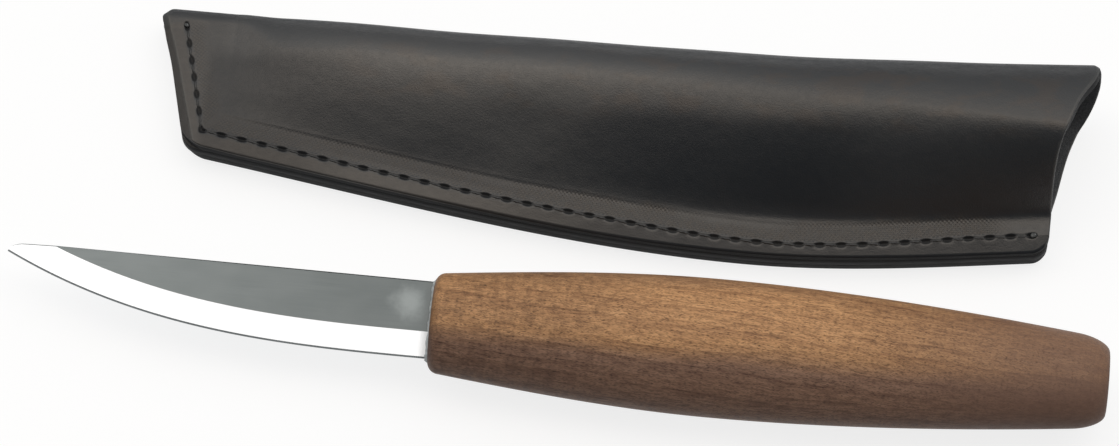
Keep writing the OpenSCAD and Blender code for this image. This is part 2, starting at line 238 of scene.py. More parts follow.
class Look(Nodes):
    """A material with one shader, in millimetres."""

    def __init__(self, name):
        self.material = bpy.data.materials.new(name)
        super().__init__(self.material, "OutputMaterial")
        self.shader = self.node("BsdfPrincipled")
        self.put(self.end, self.shader.outputs[0])

    def set(self, **values):
        for key, value in values.items():
            self.put(self.shader.inputs[key.replace("_", " ")], value)

    def place(self, origin):
        """Coordinates in millimetres from an origin that is given in millimetres."""
        here = self.node("TexCoord").outputs["Object"]
        inputs = {"Vector": here, "Scale": (1 / MM,) * 3, "Location": tuple(-origin)}
        return self.node("Mapping", inputs).outputs[0]

    def stretch(self, vector, x, y, z):
        return self.node("Mapping", {"Vector": vector, "Scale": (x, y, z)}).outputs[0]

    def noise(self, vector, scale=1.0, detail=2.0, rough=0.5):
        inputs = {"Vector": vector, "Scale": scale, "Detail": detail, "Roughness": rough}
        return self.node("TexNoise", inputs).outputs["Fac"]

    def cells(self, vector):
        return self.node("TexVoronoi", {"Vector": vector}).outputs

    def blend(self, share, a, b, kind="MIX"):
        n = self.node("Mix", data_type="RGBA", blend_type=kind)
        self.put(n.inputs[0], share)
        for socket, colour in ((n.inputs[6], a), (n.inputs[7], b)):
            self.put(socket, colour if isinstance(colour, bpy.types.NodeSocket) else (*colour, 1))
        return n.outputs[2]

    def attribute(self, name):
        return self.node("Attribute", attribute_name=name).outputs["Fac"]

    def bump(self, *layers):
        """Layers of (height, depth in millimetres), one on top of the other."""
        normal = None
        for height, depth in layers:
            n = self.node("Bump", {"Height": height, "Distance": depth * MM, "Strength": 1.0})
            if normal is not None:
                self.put(n.inputs["Normal"], normal)
            normal = n.outputs[0]
        self.put(self.shader.inputs["Normal"], normal)

    def two_tone(self, texture, one, other, rough, gloss, depth):
        """Colour, roughness and relief that all follow one texture."""
        colour, rough = self.blend(self.fit(texture, 0.3, 0.7), one, other), self.fit(texture, 0.3, 0.7, *rough)
        self.set(Base_Color=colour, Roughness=rough, Specular_IOR_Level=gloss)
        self.bump((texture, depth))
        return self.material


def walnut():
    look = Look("oiled_walnut")
    at = look.place(KNIFE)
    along = look.split(at)[0]
    slant = look.node("Mapping", {"Vector": at, "Rotation": (0.0, 0.0, 0.07)}).outputs[0]
    # Layers of the tree across the handle, which wander, and the years in them.
    wander = look.noise(look.stretch(at, 0.022, 0.09, 0.09), detail=1.0)
    ripple = look.noise(look.stretch(at, 0.11, 0.4, 0.4))
    across = look.node("VectorMath", {0: at, 1: (-0.01, 1.0, 0.55)}, operation="DOT_PRODUCT").outputs["Value"]
    layer = look.plus(across, look.times(wander, 5.0), look.times(ripple, 0.7))
    ring = look.plus(layer, look.times(along, 0.07))
    uneven = look.node("TexNoise", {"W": ring, "Scale": 0.21, "Detail": 1.0}, noise_dimensions="1D").outputs[0]
    turn = look.math("FRACT", look.plus(look.times(ring, 0.30), look.times(uneven, 1.6)))
    darkness = ((0.0, 0.16), (0.10, 0.0), (0.62, 0.22), (0.86, 0.48), (0.955, 1.0), (1.0, 0.35))
    year = look.ramp(turn, [(share, (level,) * 3) for share, level in darkness])
    strong = look.fit(look.noise(look.stretch(slant, 0.05, 0.5, 0.5), detail=1.0), 0.35, 0.65, 0.35, 1.0)
    fibre = look.noise(look.stretch(slant, 0.16, 3.4, 3.4), detail=4.0, rough=0.62)
    streak = look.noise(look.stretch(slant, 0.05, 0.9, 0.9), detail=3.0, rough=0.55)
    figure = look.noise(look.stretch(at, 0.42, 0.75, 0.75), detail=3.0, rough=0.6)
    tone = look.plus(
        look.times(year, strong, 0.30), look.fit(fibre, 0.3, 0.72, 0.0, 0.28, "LINEAR"),
        look.fit(streak, 0.3, 0.7, 0.0, 0.18, "LINEAR"), look.fit(figure, 0.32, 0.7, 0.0, 0.20, "LINEAR"),
    )
    wood = look.ramp(tone, [
        (0.10, (0.690, 0.382, 0.179)), (0.34, (0.565, 0.303, 0.138)),
        (0.60, (0.372, 0.188, 0.087)), (0.95, (0.152, 0.070, 0.036)),
    ])
    # Open pores, small ones like dust, cut vessels as dashes, and specks.
    grain = look.cells(look.stretch(slant, 0.21, 2.1, 2.1))
    kept = look.fit(look.node("SeparateColor", {"Color": grain["Color"]}).outputs[0], 0.20, 0.45)
    tiny = look.cells(look.stretch(slant, 0.55, 4.4, 4.4))
    dust = look.fit(tiny["Distance"], 0.24, 0.11, 0.0, 0.45)
    pores = look.most(look.times(look.fit(grain["Distance"], 0.33, 0.17), kept), dust)
    wood = look.blend(look.times(pores, 0.95), wood, (0.060, 0.031, 0.019))
    vessel = look.cells(look.stretch(slant, 0.20, 1.7, 1.7))
    cut = look.fit(look.node("SeparateColor", {"Color": vessel["Color"]}).outputs[1], 0.40, 0.60)
    dash = look.times(look.fit(vessel["Distance"], 0.45, 0.26), cut, 0.75)
    wood = look.blend(dash, wood, (0.090, 0.046, 0.028))
    speck = look.noise(look.stretch(slant, 0.45, 2.3, 2.3), detail=3.0, rough=0.7)
    wood = look.blend(look.fit(speck, 0.40, 0.66), wood, (0.70, 0.69, 0.70), "MULTIPLY")
    # End grain, flames near the blade, a pale patch, painted shade on the lower side and on the back, and the
    # grey butt.
    facing = look.split(look.node("TexCoord").outputs["Normal"])[0]
    end = look.fit(look.math("ABSOLUTE", facing), 0.55, 1.0, 0.0, 0.55)
    wood = look.blend(end, wood, (0.150, 0.082, 0.050))
    flame = look.noise(look.stretch(at, 0.75, 0.30, 0.30))
    flame = look.times(look.fit(flame, 0.42, 0.60), look.fit(along, 45.0, 20.0), 0.8)
    wood = look.blend(flame, wood, (0.78, 0.77, 0.78), "MULTIPLY")
    pale = look.times(look.between(along, 22.0, 48.0, 62.0, 94.0), look.fit(layer, 2.0, 6.5))
    wood = look.blend(pale, wood, (1.16, 1.16, 1.15), "MULTIPLY")
    # Painted shade on the lower side of the handle, a cool darkening.
    wood = look.blend(look.fit(layer, 4.5, -0.5), wood, (0.55, 0.60, 0.88), "MULTIPLY")
    # Painted shade on the back of the handle, a cool darkening.
    wood = look.blend(look.fit(layer, 13.0, 17.0), wood, (0.78, 0.80, 0.88), "MULTIPLY")
    wood = look.blend(look.fit(along, 76.0, 120.0, 0.0, 0.75), wood, (0.195, 0.114, 0.084))
    look.set(Base_Color=wood, Roughness=look.fit(fibre, 0.25, 0.75, 0.46, 0.62), Specular_IOR_Level=0.30)
    look.bump((fibre, 0.018), (look.math("SUBTRACT", 1.0, pores), 0.030))
    return look.material


def steel(name, colour, dark, rough, lines, depth, patch=0.0, fade=0.0):
    """Bare steel with fine lines that run as the stretch says, a bright patch, a fade toward the handle, and
    painted shade just before the handle.
    """
    look = Look(name)
    at = look.place(KNIFE)
    x = look.split(at)[0]
    line = look.noise(look.stretch(at, *lines), detail=4.0, rough=0.65)
    cloud = look.noise(look.stretch(at, 0.10, 0.16, 0.16))
    shade = look.plus(look.fit(line, 0.3, 0.7, 0.0, 0.35, "LINEAR"), look.fit(cloud, 0.35, 0.65, 0.0, 0.65))
    tone = look.blend(shade, colour, dark)
    tone = look.blend(look.fit(x, -74.0, -12.0, 0.0, fade, "LINEAR"), tone, (0.62, 0.62, 0.62), "MULTIPLY")
    spot = look.node("VectorMath", {0: at, 1: (-4.6, 3.2, 1.0)}, operation="DISTANCE").outputs["Value"]
    blur = look.noise(look.stretch(at, 0.3, 0.3, 0.3), detail=3.0, rough=0.6)
    near = look.fit(look.plus(spot, look.times(blur, 4.0)), 6.4, 2.6)
    tone = look.blend(look.times(near, patch), tone, (0.30, 0.325, 0.325))
    # Painted shade on the last two millimetres of the blade before the handle.
    tone = look.blend(look.fit(x, -2.4, -0.4, 0.0, 0.5), tone, (0.13, 0.137, 0.137))
    look.set(Base_Color=tone, Metallic=1.0, Roughness=look.fit(line, 0.3, 0.7, rough - 0.04, rough + 0.05))
    look.bump((line, depth))
    return look.material


def glue(name, colour, deep, rough):
    look = Look(name)
    at = look.place(KNIFE)
    cloud = look.noise(at, scale=1.6, detail=3.0)
    look.set(Base_Color=look.blend(look.fit(cloud, 0.3, 0.7), colour, deep),
             Roughness=look.fit(cloud, 0.3, 0.7, rough, rough + 0.12))
    look.bump((look.noise(at, scale=2.4), 0.03))
    return look.material


def leather():
    look = Look("black_leather")
    at = look.place(SHEATH)
    length, side_way = look.split(at)[:2]
    seam_u, seam_v, press = look.attribute("seam_u"), look.attribute("seam_v"), look.attribute("press")
    edge, inside = look.attribute("edge"), look.attribute("inside")
    cloud = look.noise(at, scale=0.085, detail=3.0)
    mottle = look.noise(at, scale=0.9, detail=3.0, rough=0.6)
    dye_and_painted_light = look.ramp(look.plus(look.times(cloud, 0.6), look.times(mottle, 0.4)), [
        (0.30, (0.0154, 0.0185, 0.0229)), (0.55, (0.0172, 0.0201, 0.0240)), (0.75, (0.0206, 0.0229, 0.0258)),
    ])
    # Band beside the stitches, pressed with a cross hatch, made pale and brown with painted highlight, most on
    # the raised lines of the hatch.
    ragged = look.plus(seam_v, look.fit(cloud, 0.35, 0.65, -0.9, 0.9, "LINEAR"))
    band = look.times(look.fit(seam_v, 0.45, 0.85), look.fit(ragged, 5.2, 2.5),
                      look.fit(length, 45.0, 85.0, 0.6, 1.0), press)
    # Painted highlight: the band is made paler and browner.
    dye_and_painted_light = look.blend(look.times(band, look.fit(mottle, 0.3, 0.7, 0.35, 0.95)), dye_and_painted_light, (0.034, 0.0285, 0.0245))
    up = look.times(look.plus(seam_u, seam_v), 2 * math.pi / HATCH_PITCH)
    down = look.times(look.math("SUBTRACT", seam_u, seam_v), 2 * math.pi / HATCH_PITCH)
    cross = look.plus(look.math("SINE", up), look.math("SINE", down))
    pressed = look.times(band, look.attribute("weave"), look.fit(seam_v, 4.8, 3.4))
    raised = look.times(pressed, look.fit(cross, 0.1, 1.6, 0.0, 0.75), look.fit(mottle, 0.35, 0.65, 0.3, 1.0))
    # Painted highlight on the raised lines of the hatch.
    dye_and_painted_light = look.blend(raised, dye_and_painted_light, (0.062, 0.054, 0.047))
    hatch = look.times(cross, 0.25, pressed)
    # Painted warm highlight: brown mottling along the ridge, a pale margin outside the stitches, and pale lines
    # beside the cut edges.
    # Painted highlight along the ridge, in brown mottled patches.
    ridge_painted_highlight = look.fit(look.noise(look.stretch(at, 0.14, 0.24, 0.24), detail=4.0, rough=0.6), 0.47, 0.62)
    ridge_painted_highlight = look.times(ridge_painted_highlight, look.between(side_way, -20.0, -15.0, -8.0, -4.0), look.fit(length, 25.0, 50.0),
                       look.fit(seam_v, 4.0, 6.0), 0.60)
    dye_and_painted_light = look.blend(ridge_painted_highlight, dye_and_painted_light, (0.0335, 0.0240, 0.0195))
    # Painted highlight on the margin outside the stitches, most toward the tip.
    margin = look.times(look.fit(seam_v, -0.4, -0.9), look.fit(length, 105.0, 60.0, 0.15, 0.8), press)
    dye_and_painted_light = look.blend(margin, dye_and_painted_light, (0.0255, 0.0225, 0.0207))
    # Painted highlight lines beside the cut edges at the tip and the mouth.
    edge_painted_highlight = look.times(look.fit(look.attribute("line"), 0.42, 0.10), look.fit(mottle, 0.3, 0.65, 0.3, 1.0))
    dye_and_painted_light = look.blend(edge_painted_highlight, dye_and_painted_light, (0.040, 0.043, 0.043))
    # Painted shade in the slots at the stitch holes, and painted light on the cut rims, but for the belly's.
    step = look.math("SUBTRACT", look.math("FRACT", look.plus(look.attribute("beat"), 0.5)), 0.5)
    slot_x = look.math("POWER", look.times(look.math("ABSOLUTE", step), STITCH_PITCH / 1.10), 2.0)
    slot_y = look.math("POWER", look.times(look.math("ABSOLUTE", seam_v), 1 / 0.56), 2.0)
    slot = look.fit(look.plus(slot_x, slot_y), 1.50, 0.45)
    low_rim = look.times(look.fit(edge, 0.75, 0.35), look.fit(seam_v, -1.2, -2.2),
                         look.fit(length, 30.0, 80.0, 0.2, 1.0))
    rim_painted_light = look.math("SUBTRACT", look.fit(edge, 0.60, 0.15, 0.0, 0.4), low_rim)
    # Painted light on the cut rims.
    dye_and_painted_light = look.blend(look.most(rim_painted_light, 0.0), dye_and_painted_light, (0.040, 0.042, 0.046))
    # Painted shade in the stitch slots.
    dye_and_painted_light = look.blend(slot, dye_and_painted_light, (0.0135, 0.0142, 0.0155))
    # Flesh side inside the pocket, pale grey, partly painted light that lifts its shade.
    fuzz = look.noise(at, scale=2.6, detail=5.0, rough=0.7)
    flesh = look.blend(look.fit(fuzz, 0.3, 0.7), (0.080, 0.083, 0.088), (0.130, 0.135, 0.142))
    dye_and_painted_light = look.blend(inside, dye_and_painted_light, flesh)
    worn = look.plus(look.fit(mottle, 0.25, 0.75, 0.33, 0.45, "LINEAR"), look.times(band, 0.06),
                     look.times(inside, 0.4))
    # The polish is least behind the seam at the tip and on the wall, and most along the ridge beside the blade.
    ridge_gloss = look.times(look.between(length, 20.0, 45.0, 60.0, 140.0), look.fit(side_way, -17.0, -10.0))
    tip = look.times(look.between(length, 9.0, 11.5, 22.0, 46.0), look.fit(side_way, -7.0, -12.0))
    top = look.times(look.between(length, 11.0, 16.0, 26.0, 44.0), look.fit(side_way, -12.0, -7.0))
    foot = look.times(look.between(seam_v, 1.0, 2.0, 4.0, 6.5), look.between(length, 24.0, 48.0, 55.0, 85.0))
    wall = look.times(look.fit(length, 66.0, 100.0, 0.25, 1.0), look.fit(length, 146.0, 122.0),
                      look.fit(side_way, -15.5, -19.5), look.fit(seam_v, 3.5, 8.5))
    facing = look.node("LayerWeight", {"Blend": 0.5}).outputs["Facing"]
    polish = look.plus(look.times(ridge_gloss, 0.30), look.times(tip, -0.21), 0.79, look.times(top, 0.16),
                       look.times(foot, -0.18))
    polish = look.times(polish, look.fit(look.most(slot, inside, low_rim), 0.0, 1.0, 1.0, 0.25),
                        look.fit(wall, 0.0, 1.0, 1.0, 0.42, "LINEAR"), look.fit(facing, 0.30, 0.70, 1.0, 0.12))
    look.set(Base_Color=dye_and_painted_light, Roughness=worn, Specular_IOR_Level=polish, Specular_Tint=(1.0, 0.935, 0.865, 1.0))
    shift = look.node("TexNoise", {"Vector": at, "Scale": 0.8}).outputs["Color"]
    warped = look.node("VectorMath", {0: at, 1: shift}, operation="ADD").outputs[0]
    cells = look.node("TexVoronoi", {"Vector": warped, "Scale": 1.7}, feature="DISTANCE_TO_EDGE").outputs[0]
    fine = look.noise(at, scale=3.4, detail=4.0, rough=0.6)
    look.bump((cloud, 0.35), (look.fit(cells, 0.0, 0.22), 0.010), (fine, 0.020), (hatch, 0.09),
              (look.times(fuzz, inside), 0.16))
    return look.material


def edge_leather():
    look = Look("welt_edge_leather")
    layers = look.noise(look.stretch(look.place(SHEATH), 0.25, 0.25, 4.0), detail=3.0, rough=0.6)
    return look.two_tone(layers, (0.0190, 0.0202, 0.0222), (0.0235, 0.0242, 0.0254), (0.58, 0.70), 0.12, 0.012)


def waxed_thread():
    look = Look("waxed_thread")
    fibre = look.noise(look.place(SHEATH), scale=6.0, detail=4.0, rough=0.7)
    return look.two_tone(fibre, (0.012, 0.0118, 0.0118), (0.024, 0.023, 0.022), (0.38, 0.54), 0.7, 0.06)


def waxed_end():
    look = Look("waxed_thread_end")
    # The melted ends are pale grey: painted highlight on the drops.
    cloud = look.noise(look.place(SHEATH), scale=3.0, detail=3.0)
    return look.two_tone(cloud, (0.17, 0.175, 0.175), (0.06, 0.061, 0.061), (0.22, 0.40), 0.6, 0.05)


# Handle

def handle():
    def front_in(s):
        u = np.clip(1 - s / FRONT_ROUND, 0, 1)
        return FRONT_ROUND * (1 - np.sqrt(1 - u * u))

    def butt_in(s):
        u = np.clip((s - HANDLE_LENGTH) / BUTT_RUN + 1, 0, 1)
        return BUTT_ROUND * (1 - np.sqrt(1 - u * u))

    def half(s, peak, first, last):
        whole = swell(s, HANDLE_LENGTH, SWELL_AT, peak, first, last, FRONT_FULL, BUTT_FULL)
        return whole / 2 - front_in(s) - butt_in(s)

    sides = 144
    turn = np.linspace(0, math.pi / 2, 13)
    places = np.concatenate([
        FRONT_ROUND * (1 - np.cos(turn)),
        np.linspace(FRONT_ROUND, HANDLE_LENGTH - BUTT_RUN, 105)[1:-1],
        HANDLE_LENGTH - BUTT_RUN * (1 - np.sin(turn)),
    ])
    angle = np.linspace(0, 2 * math.pi, sides, endpoint=False)
    a = half(places, HANDLE_HEIGHT, FRONT_HEIGHT, BUTT_HEIGHT)
    b = half(places, HANDLE_THICK, FRONT_THICK, BUTT_THICK)
    shrink = np.array([0.08, 0.3, 0.5, 0.68, 0.82, 0.93])
    places = np.concatenate([np.zeros(6), places, np.full(6, HANDLE_LENGTH)])
    a = np.concatenate([a[0] * shrink, a, a[-1] * shrink[::-1]])
    b = np.concatenate([b[0] * shrink, b, b[-1] * shrink[::-1]])
    points = np.stack([
        np.repeat(places[:, None], sides, 1), a[:, None] * np.cos(angle), b[:, None] * np.sin(angle),
    ], axis=-1).reshape(-1, 3)
    faces = tube_faces(len(places), sides)
    return make("walnut_handle", points, faces, "knife", ["handle"], [walnut()], KNIFE, sharp=60)


# Blade

def edge_at(t):
    return np.stack([-t, EDGE_RISE * (t / BLADE_LENGTH) ** EDGE_SWEEP - EDGE_BELOW], -1)


def inward(t):
    m = EDGE_RISE * EDGE_SWEEP / BLADE_LENGTH * (t / BLADE_LENGTH) ** (EDGE_SWEEP - 1)
    return np.stack([m, np.ones_like(m)], -1) / np.sqrt(m * m + 1)[..., None]


def back_height(x):
    """Height of the blade's back at x, with the rounded point."""
    straight = SPINE_Y + BACK_RISE * -x / (BLADE_LENGTH - POINT_RUN)
    u = np.clip((x + BLADE_LENGTH) / POINT_RUN, 0, 1)
    arc = SPINE_Y + BACK_RISE - POINT_DROP * (1 - np.sqrt(np.clip(1 - (1 - u) ** 2, 0, 1)))
    return np.where(x > -BLADE_LENGTH + POINT_RUN, straight, arc)


def blade():
    t = np.concatenate([np.linspace(0, 60, 121), np.linspace(60, BLADE_LENGTH, 121)[1:]])
    e, n = edge_at(t), inward(t)
    low, high = np.zeros_like(t), np.full_like(t, 20.0)
    for _ in range(60):
        mid = (low + high) / 2
        p = e + n * mid[:, None]
        inside = p[:, 1] < back_height(p[:, 0])
        low, high = np.where(inside, mid, low), np.where(inside, high, mid)
    reach = low
    ease = np.minimum(SPINE_EASE, reach * 0.2)

    def half_at(d):
        rise = (d - HONE_WIDTH) * (BLADE_THICK / 2 - HONE_HALF) / (BEVEL_WIDTH - HONE_WIDTH)
        bevel = np.minimum(BLADE_THICK / 2, HONE_HALF + rise)
        return np.where(d < HONE_WIDTH, HONE_HALF * d / HONE_WIDTH, bevel)

    depth = [np.zeros_like(t), np.minimum(HONE_WIDTH, reach * 0.3)]
    grind = np.minimum(BEVEL_WIDTH, reach - ease)
    depth += [mix(depth[1], grind, u) for u in (0.25, 0.5, 0.75, 1.0)]
    depth += [mix(grind, reach - ease, u) for u in (0.33, 0.66, 1.0)]
    depth += [reach]
    top = [half_at(d) for d in depth]
    top[0] = np.full_like(t, 0.004)
    top[-1] = top[-2] - ease * 0.8
    ring = [(d, h) for d, h in zip(depth, top)] + [(d, -h) for d, h in zip(depth[::-1], top[::-1])]
    loops = [np.stack([
        e[k, 0] + n[k, 0] * np.array([d[k] for d, _ in ring]),
        e[k, 1] + n[k, 1] * np.array([d[k] for d, _ in ring]),
        np.array([h[k] for _, h in ring]),
    ], -1) for k in range(len(t))][::-1]
    sides = len(ring)
    kinds = [2] + [1] * 4 + [0] * 4
    strip = kinds + [0] + kinds[::-1] + [2]
    face_slots = strip * (len(loops) - 1)
    base = loops[-1]

    def bar(x, grow):
        y = np.clip(base[:, 1], TANG_Y - TANG_HEIGHT / 2 * grow, TANG_Y + TANG_HEIGHT / 2 * grow)
        z = np.sign(base[:, 2]) * TANG_THICK / 2
        return np.stack([np.full(sides, x), y, z], -1)

    loops += [bar(0.0, 1), bar(TANG_LENGTH - 4, 1), bar(TANG_LENGTH - 1.2, 0.72), bar(TANG_LENGTH, 0.35)]
    face_slots += [0] * (sides * 4)
    points = np.concatenate(loops)
    faces = tube_faces(len(loops), sides)
    face_slots += [1, 0]
    lengthwise, upward = (0.07, 7.0, 7.0), (6.0, 0.5, 0.5)
    # The flat's dark grey steel colour is partly its satin finish and partly painted darker reflection.
    flat = steel("satin_steel_painted_dark_reflection", (0.206, 0.225, 0.226), (0.184, 0.203, 0.204), 0.34, lengthwise, 0.003,
                 patch=0.6, fade=0.75)
    ground = steel("ground_steel", (0.66, 0.685, 0.725), (0.63, 0.655, 0.695), 0.16, upward, 0.002)
    honed = steel("honed_edge_steel", (0.72, 0.76, 0.76), (0.60, 0.64, 0.64), 0.30, upward, 0.002)
    return make("ground_blade", points, faces, "knife", ["blade"], [flat, ground, honed], KNIFE,
                face_slots=face_slots, sharp=4)


# Bead of epoxy where the blade goes into the handle

def bead():
    tall, thick, r = BLADE_HEIGHT / 2 - BEAD_CORNER, BLADE_THICK / 2 - BEAD_CORNER, BEAD_CORNER
    middle = SPINE_Y - BLADE_HEIGHT / 2
    ring, out = [], []
    for cy, cz, start in ((tall, thick, 0), (-tall, thick, 90), (-tall, -thick, 180), (tall, -thick, 270)):
        for i in range(7):
            a = math.radians(start + 90 * i / 6)
            d = np.array([math.cos(a), math.sin(a)])
            ring.append(np.array([cy, cz]) + d * r)
            out.append(d)
    dense, way = [], []
    for i in range(len(ring)):
        p, q = ring[i], ring[(i + 1) % len(ring)]
        steps = max(1, int(np.linalg.norm(q - p) / 0.5))
        for k in range(steps):
            dense.append(mix(p, q, k / steps))
            way.append(mix(out[i], out[(i + 1) % len(ring)], k / steps))
    dense, way = np.array(dense), np.array(way)
    sides = len(dense)
    count = np.arange(sides)
    wave = 1 + 0.16 * np.sin(count * 0.9) + 0.10 * np.sin(count * 2.3 + 1)
    turns = np.linspace(0, math.pi / 2, 7)
    profile = [(-0.06, BEAD_IN)]
    profile += [(BEAD_SIZE * (1 - math.sin(a)), -BEAD_SIZE * (1 - math.cos(a))) for a in turns]
    profile += [(BEAD_SIZE, BEAD_IN)]
    rings = []
    for o, x in profile:
        grow = (o * wave if o > 0 else np.full(sides, o))[:, None]
        p = dense + way * grow
        rings.append(np.stack([x * (wave if x < 0 else np.ones(sides)), p[:, 0] + middle, p[:, 1]], -1))
    points = np.concatenate(rings)
    faces = ring_faces(len(rings), sides)
    last = (len(rings) - 1) * sides
    faces += [(last + j, last + (j + 1) % sides, (j + 1) % sides, j) for j in range(sides)]
    return make("epoxy_bead", points, faces, "knife", ["tang_epoxy"],
                [glue("grey_epoxy", (0.640, 0.680, 0.690), (0.420, 0.455, 0.465), 0.18)], KNIFE, sharp=60)


# Sheath

def belly(x):
    x = np.clip(x, 0, SHEATH_LENGTH)
    return swell(x, SHEATH_LENGTH, BELLY_AT, BELLY_WIDTH, TIP_WIDTH, MOUTH_WIDTH, BELLY_FULL, BELLY_FULL)


def pocket_u(x):
    return np.clip((x - FLAT_END) / (SHEATH_LENGTH - FLAT_END), 0, 1)


def bulge(u):
    """Bulge of the front beside the blade, which is 1 where it is most."""
    at = BULGE_IN / (BULGE_IN + BULGE_OUT)
    return u ** BULGE_IN * (1 - u) ** BULGE_OUT / (at ** BULGE_IN * (1 - at) ** BULGE_OUT)


def pocket_top(x):
    u = pocket_u(x)
    return mix(SEAM_TOP, POCKET_PEAK, u ** POCKET_FLARE) + BLADE_BULGE * bulge(u)


def pocket_low(x):
    return mix(SEAM_LOW, 0.0, smooth((x - FLAT_END) / SAG_RUN))


def ridge(x):
    u = pocket_u(x)
    start = mix(FOLD_RADIUS, RIDGE_BLADE, smooth(u / RIDGE_START))
    return start + (RIDGE_MOUTH - RIDGE_BLADE) * u ** RIDGE_BEND


def fold_share(x):
    u = pocket_u(x)
    return 0.5 - 0.79 * u + 0.95 * u * u


def tip_x(w):
    return TIP_SLANT * w / TIP_WIDTH - TIP_FULL * np.exp(-((w - TIP_FULL_AT) / TIP_FULL_RUN) ** 2)


def trimmed(w, radius):
    """How far a rounded corner stands back at a distance w from the fold."""
    u = np.clip(1 - w / radius, 0, 1)
    return radius * (1 - np.sqrt(1 - u * u))


def mouth_x(w):
    u = (MOUTH_RUN - w) / MOUTH_RUN
    return MOUTH_X + MOUTH_SLANT * (u + np.sqrt(u * u + MOUTH_EASE)) / 2


TIP_END = np.array([tip_x(belly(TIP_SLANT)), belly(TIP_SLANT)])
CORNER_HOLE = np.array([tip_x(TIP_END[1]) + STITCH_MARGIN, TIP_END[1] - STITCH_MARGIN])


def stitch_holes():
    """Stitch holes as (x, w), from the fold down the tip end and then along the belly to the mouth."""
    way = np.array([TIP_SLANT, TIP_WIDTH]) / math.hypot(TIP_SLANT, TIP_WIDTH)
    row = (CORNER_HOLE[1] - FOLD_RADIUS - END_CLEAR - END_LAND - HOLE_RADIUS) / way[1]
    count = math.ceil(row / STITCH_PITCH)
    holes = [CORNER_HOLE - way * row * i / count for i in range(count, 0, -1)]
    share = np.linspace(0, 1, 2000)
    x = mix(CORNER_HOLE[0], MOUTH_X - MOUTH_MARGIN, share)
    run = np.concatenate([[0], np.cumsum(np.hypot(np.diff(x), np.diff(belly(x))))])
    bow = np.clip((share - BOW_START) / BOW_RUN, 0, 1)
    w = belly(x) - STITCH_MARGIN + SEAM_BOW * np.sin(np.pi * bow) ** 2
    for d in np.linspace(0, run[-1], round(run[-1] / STITCH_PITCH) + 1):
        holes.append(np.array([np.interp(d, run, x), np.interp(d, run, w)]))
    return np.array(holes), count


HOLES, TIP_COUNT = stitch_holes()


def section(zone, q, x):
    """Outside of the leather across the sheath: distance from the fold and height.

    Zones: 0 front margin, 1 pocket wall, 2 fold, 3 flat back, 4 back's rise to the seam, 5 back margin.
    """
    wide = belly(x)
    inner = wide - WELT_WIDTH
    flat = inner - SAG_RUN
    top, low = pocket_top(x), pocket_low(x)
    fold_z = mix(low, top, fold_share(x))
    r = ridge(x)
    r_low = mix(FOLD_RADIUS, r, FOLD_BELOW)
    u, v = pocket_u(x), 1 - q
    bend, shoulder = mix(inner, r, CREASE / 3), mix(r, inner, mix(*CROWN, u))
    rise_w = v ** 3 * inner + 3 * v * v * q * bend + 3 * v * q * q * shoulder + q ** 3 * r
    rise_z = mix(SEAM_TOP, top, 3 * v * v * q * CREASE * 2 / 3 + 3 * v * q * q + q ** 3)
    a = np.radians(90 - 180 * q)
    fold_w = np.where(a > 0, r, r_low) * (1 - np.cos(a))
    fold_up = fold_z + np.where(a > 0, top - fold_z, fold_z - low) * np.sin(a)
    margin = mix(wide, inner, q)
    away = inner - np.where(zone == 0, margin, rise_w)
    foot = 2 * (top - SEAM_TOP) / (inner - r) * (np.sqrt(away * away + FOOT_ROUND ** 2) - np.abs(away)) / 2
    pick = [zone == k for k in range(6)]
    w = np.select(pick, [
        margin, rise_w, fold_w, mix(r_low, flat, q), mix(flat, inner, q), mix(inner, wide, q),
    ])
    z = np.select(pick, [
        SEAM_TOP + foot, rise_z + foot, fold_up, low, mix(low, SEAM_LOW, smooth(q)), np.full_like(x, SEAM_LOW),
    ])
    return w + FOLD_HOLLOW * 4 * u * (1 - u) * np.maximum(0, 1 - w / inner), z


def seam_place(x, w):
    """For points of the flat panel: the way along the seam, the way inside it, and the beat of its holes."""
    p = np.stack([x, w], -1)
    best = np.full(x.shape, 1e9)
    along, side = np.zeros(x.shape), np.zeros(x.shape)
    run, marks = 0.0, [0.0]
    for i in range(len(HOLES) - 1):
        a, b = HOLES[i], HOLES[i + 1]
        d = b - a
        length = math.hypot(*d)
        u = ((p - a) @ d) / length ** 2
        low, high = (-9 if i == 0 else 0), (9 if i == len(HOLES) - 2 else 1)
        near = a + np.clip(u, low, high)[..., None] * d
        gap = np.linalg.norm(p - near, axis=-1)
        better = gap < best
        cross = (d[0] * (p[..., 1] - a[1]) - d[1] * (p[..., 0] - a[0])) / length
        best = np.where(better, gap, best)
        along = np.where(better, run + np.clip(u, low, high) * length, along)
        side = np.where(better, -np.sign(cross) * gap, side)
        run += length
        marks.append(run)
    hole = np.min([np.abs(along - m) for m in marks], axis=0)
    ends = -STITCH_PITCH / 2, run + STITCH_PITCH / 2
    beat = np.interp(along, [ends[0], *marks, ends[1]], [-0.5, *range(len(marks)), len(marks) - 0.5])
    return along, side, hole, beat, run


def strips(a, place_a, b, place_b):
    """Triangles between two rows of points that run side by side."""
    i = j = 0
    faces = []
    while i < len(a) - 1 or j < len(b) - 1:
        if j == len(b) - 1 or (i < len(a) - 1 and place_a[i + 1] <= place_b[j + 1]):
            faces.append((a[i], a[i + 1], b[j]))
            i += 1
        else:
            faces.append((a[i], b[j + 1], b[j]))
            j += 1
    return faces


